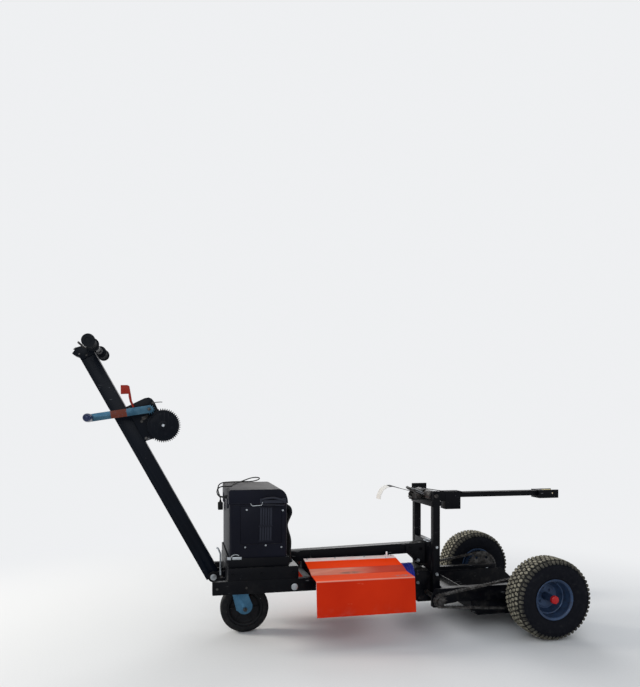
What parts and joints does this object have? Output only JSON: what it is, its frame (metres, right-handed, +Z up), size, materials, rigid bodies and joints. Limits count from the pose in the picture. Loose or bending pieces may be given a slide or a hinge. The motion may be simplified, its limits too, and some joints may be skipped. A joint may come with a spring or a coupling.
{
  "type": "walk-behind aircraft tug",
  "caption": "Walk-behind electric tug: tongue with T-handle and hand winch, battery deck on a caster, chain-driven wheels, and a cradle and arm that take an aircraft's nose wheel.",
  "frame": {"origin": "on the ground, in the middle of the tug's length and width", "axes": "+X towards the lifting end with the driven wheels, -X towards the tongue, -Y the near side in the picture, +Z up"},
  "size_m": [2.144, 0.815, 1.2043],
  "materials": {
    "frame_black": "satin black powder coat with dust and worn edges",
    "tongue_black": "gloss black powder coat, scuffed",
    "cover_orange": "satin orange powder coat, dusty along the folds",
    "zinc": "bright zinc plate with a blue-grey cast",
    "crank_zinc": "zinc plated flat bar with an orange band",
    "dark_steel": "oiled dark steel",
    "rim_silver": "silver-grey wheel enamel",
    "cap_red": "moulded red plastic",
    "tyre_rubber": "matt rubber with dust in the tread",
    "caster_rubber": "black moulded rubber, dusty at the tread",
    "caster_core": "black moulded nylon core",
    "motor_blue": "blue enamel",
    "case_plastic": "dark slate moulded case, fine texture",
    "vent_grey": "dark grey moulded vents",
    "strap_web": "grey-white polyester webbing",
    "pad_cream": "pale yellow urethane pad",
    "lead_black": "black cable jacket",
    "grip_black": "soft black grip",
    "lever_red": "orange-red dipped lever",
    "grip_navy": "dark navy moulded grip"
  },
  "bodies": {
    "root": {"rear_frame": "frame_black", "cradle_pan": "frame_black", "stub_axles": "zinc", "mast_posts": "frame_black", "mast_braces": "frame_black", "strap_roller": "dark_steel", "ratchet": "zinc", "lift_strap": "strap_web", "arm_receiver": "frame_black", "arm_bar": "frame_black", "yoke": "frame_black", "yoke_pads": "pad_cream", "spine_beam": "frame_black", "front_rails": "frame_black", "deck_box": "frame_black", "battery_tray": "frame_black", "battery_case": "case_plastic", "vent_panel": "vent_grey", "case_handle": "case_plastic", "power_cables": "lead_black", "charge_lead": "lead_black", "charge_plug": "lead_black", "cover_ribs": "frame_black", "cover_near": "cover_orange", "cover_far": "cover_orange", "motor": "motor_blue", "gearbox": "frame_black", "drive_chains": "dark_steel", "caster_plate": "zinc", "foot_bracket": "frame_black", "latch_hook": "zinc", "frame_bolts": "zinc"},
    "tongue": {"pivot_pin": "zinc", "tongue_tube": "tongue_black", "handlebar": "tongue_black", "grips": "grip_black", "control_box": "tongue_black", "brake_lever": "dark_steel", "winch_frame": "tongue_black", "release_lever": "lever_red"},
    "winch_drum": {"winch_drum": "tongue_black"},
    "winch_crank": {"crank_arm": "crank_zinc", "crank_grip": "grip_navy"},
    "drive_shaft_near": {"drive_sprocket_near": "dark_steel"},
    "drive_shaft_far": {"drive_sprocket_far": "dark_steel"},
    "caster_swivel": {"caster_fork": "zinc"},
    "caster_wheel": {"caster_hub": "caster_core", "caster_tyre": "caster_rubber"},
    "wheel_near": {"tyre_near": "tyre_rubber", "rim_near": "rim_silver", "sprocket_near": "dark_steel", "hub_cap_near": "cap_red"},
    "wheel_far": {"tyre_far": "tyre_rubber", "rim_far": "rim_silver", "sprocket_far": "dark_steel", "hub_cap_far": "cap_red"}
  },
  "joints": [
    {"name": "wheel_near_turn", "type": "hinge", "parent": "root", "child": "wheel_near", "pos_m": [0.82203, -0.345, 0.165], "axis": [0, 1, 0], "continuous": true},
    {"name": "wheel_far_turn", "type": "hinge", "parent": "root", "child": "wheel_far", "pos_m": [0.82203, 0.345, 0.165], "axis": [0, 1, 0], "continuous": true},
    {"name": "drive_shaft_near_turn", "type": "hinge", "parent": "root", "child": "drive_shaft_near", "pos_m": [0.39335, -0.25, 0.147], "axis": [0, 1, 0], "continuous": true},
    {"name": "drive_shaft_far_turn", "type": "hinge", "parent": "root", "child": "drive_shaft_far", "pos_m": [0.39335, 0.25, 0.147], "axis": [0, 1, 0], "continuous": true},
    {"name": "caster_swivel_turn", "type": "hinge", "parent": "root", "child": "caster_swivel", "pos_m": [-0.41597, 0, 0.232], "axis": [0, 0, 1], "continuous": true},
    {"name": "caster_wheel_turn", "type": "hinge", "parent": "caster_swivel", "child": "caster_wheel", "pos_m": [-0.38797, 0, 0.1015], "axis": [0, 1, 0], "continuous": true},
    {"name": "tongue_fold", "type": "hinge", "parent": "root", "child": "tongue", "pos_m": [-0.51897, 0, 0.243], "axis": [0, 1, 0], "range_deg": [-61.3, 0]},
    {"name": "winch_crank_turn", "type": "hinge", "parent": "tongue", "child": "winch_crank", "pos_m": [-0.77221, -0.05, 0.93253], "axis": [0, 1, 0], "continuous": true},
    {"name": "winch_drum_turn", "type": "hinge", "parent": "tongue", "child": "winch_drum", "pos_m": [-0.71995, 0, 0.86831], "axis": [0, 1, 0], "continuous": true}
  ],
  "couplings": [
    {"joint": "drive_shaft_near_turn", "follows": "wheel_near_turn", "ratio": 3},
    {"joint": "drive_shaft_far_turn", "follows": "wheel_far_turn", "ratio": 3},
    {"joint": "winch_drum_turn", "follows": "winch_crank_turn", "ratio": -0.25}
  ]
}
